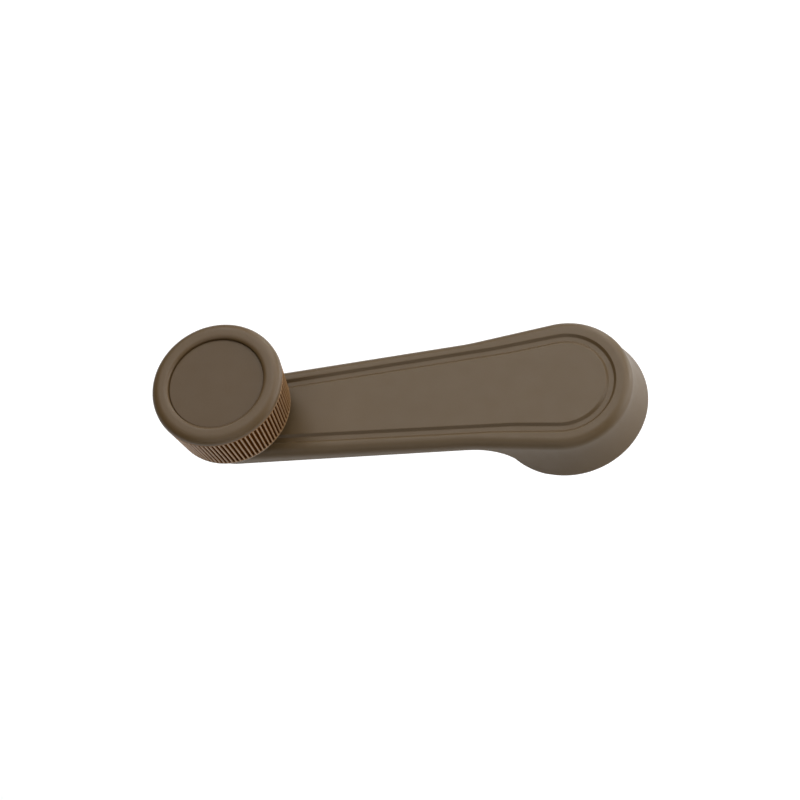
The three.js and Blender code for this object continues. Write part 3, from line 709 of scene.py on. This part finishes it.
finish_piece(make_arm_skin(), "crank_arm", arm_plastic, "arm_plastic", "arm_skin")
finish_piece(make_arm_core(), "crank_arm", plated, "plated_steel", "arm_core")
for number, station in enumerate(POST_STATIONS, 1):
    nut = make_push_nut(f"push_nut_{number}", station)
    finish_piece(nut, "crank_arm", spring, "spring_steel", f"core_push_nut_{number}")
finish_piece(make_spline_socket(), "crank_arm", zinc, "cast_zinc", "spline_socket")
for index in range(RIVET_COUNT):
    rivet = make_rivet(f"rivet_{index + 1}", index)
    finish_piece(rivet, "crank_arm", plated, "plated_steel", f"socket_rivet_{index + 1}")
finish_piece(make_clip(), "crank_arm", spring, "spring_steel", "retaining_clip")
finish_piece(make_wear_ring(), "trim_side", nylon, "nylon", "wear_ring")
finish_piece(make_knob_pin(), "crank_arm", plated, "plated_steel", "knob_pin")
tail_washer = smooth_by_angle(turned_ring("tail_washer", 3.3, 5.8, 10.2, 10.8, KNOB_X))
finish_piece(tail_washer, "crank_arm", plated, "plated_steel", "pin_tail_washer")
slip_washer = smooth_by_angle(turned_ring("slip_washer", 3.5, 6.2, 18.7, 19.3, KNOB_X))
finish_piece(slip_washer, "crank_arm", nylon, "nylon", "thrust_washer")
finish_piece(make_knob_body(), "knob", knob_plastic, "knob_plastic", "knob_body")
finish_piece(make_knob_cap(), "knob", cap_plastic, "cap_plastic", "knob_cap")

slot_materials = {"plated_steel": plated, "spring_steel": spring, "cast_zinc": zinc, "nylon": nylon,
                  "arm_plastic": arm_plastic, "knob_plastic": knob_plastic, "cap_plastic": cap_plastic}
for part in frame["record"]["subparts"]:
    node = frame["nodes"][part["node"]]
    for spot in node.material_slots:
        spot.material = slot_materials[part["material_slot"]]


# ---- Floor, light and camera ----
def make_floor():
    size = 6000
    drop = -150
    corners = [(-size, -size, drop), (size, -size, drop), (size, size, drop), (-size, size, drop)]
    floor = mesh_object("floor", corners, [(0, 1, 2, 3)])
    material, nodes, links, shader = new_material("pale floor")
    shader.inputs["Roughness"].default_value = 0.9
    shader.inputs["Emission Color"].default_value = (1, 1, 1, 1)
    shader.inputs["Emission Strength"].default_value = 0.3
    coordinates = nodes.new("ShaderNodeTexCoord").outputs["Object"]
    tone = ramp(nodes, links, noise(nodes, links, coordinates, 8), 0.3, 0.7, (0.915,) * 3, (0.925,) * 3)
    links.new(tone, shader.inputs["Base Color"])
    floor.data.materials.append(material)


def softbox(name, azimuth, elevation, power, size=0.5):
    """A white disc light one metre from the object; azimuth runs from +X towards +Y, in degrees."""
    lamp = bpy.data.lights.new(name, "AREA")
    lamp.shape = "DISK"
    lamp.size = size
    lamp.energy = power
    turn, rise = math.radians(azimuth), math.radians(elevation)
    away = Vector((math.cos(rise) * math.cos(turn), math.cos(rise) * math.sin(turn), math.sin(rise)))
    holder = bpy.data.objects.new(name, lamp)
    holder.location = middle + away
    holder.rotation_euler = (-away).to_track_quat("-Z", "Y").to_euler()
    bpy.context.scene.collection.objects.link(holder)


def make_camera(target):
    azimuth, elevation, roll = (math.radians(a) for a in (23.5, 60.8, -26.8))
    distance = 0.7701
    back = Vector((math.sin(azimuth) * math.cos(elevation), -math.cos(azimuth) * math.cos(elevation),
                   math.sin(elevation)))
    level = Vector((math.cos(azimuth), math.sin(azimuth), 0))
    upright = back.cross(level)
    right = level * math.cos(roll) + upright * math.sin(roll)
    up = back.cross(right)
    data = bpy.data.cameras.new("camera")
    data.lens = 121.5
    data.sensor_width = 36
    data.clip_start = 0.05
    camera = bpy.data.objects.new("camera", data)
    turn = Matrix((right, up, back)).transposed()
    camera.matrix_world = Matrix.Translation(target + back * distance) @ turn.to_4x4()
    bpy.context.scene.collection.objects.link(camera)
    bpy.context.scene.camera = camera


def make_world(strength):
    world = bpy.data.worlds.new("studio")
    world.use_nodes = True
    world.node_tree.nodes["Background"].inputs["Color"].default_value = (1, 1, 1, 1)
    world.node_tree.nodes["Background"].inputs["Strength"].default_value = strength
    bpy.context.scene.world = world


middle = Vector((KNOB_X / 2 + 0.7, -0.2, ARM_TOP)) * MM
make_floor()
softbox("right", 0, 12, 3)
softbox("low right", 30, -3, 2, 0.2)
softbox("low far side", 70, 15, 2, 0.3)
softbox("low near side", 270, 12, 0.5)
softbox("high right", 22, 40, 2.5)
softbox("high far right", 67, 40, 2)
softbox("high far side", 112, 40, 2)
softbox("high near left", 247, 40, 1)
softbox("high near side", 292, 40, 1)
softbox("top far side", 90, 70, 2)
softbox("top left", 180, 70, 1)
softbox("top near side", 270, 70, 0.5)
make_world(0.02)
make_camera(middle)
bpy.context.scene.view_settings.view_transform = "Standard"
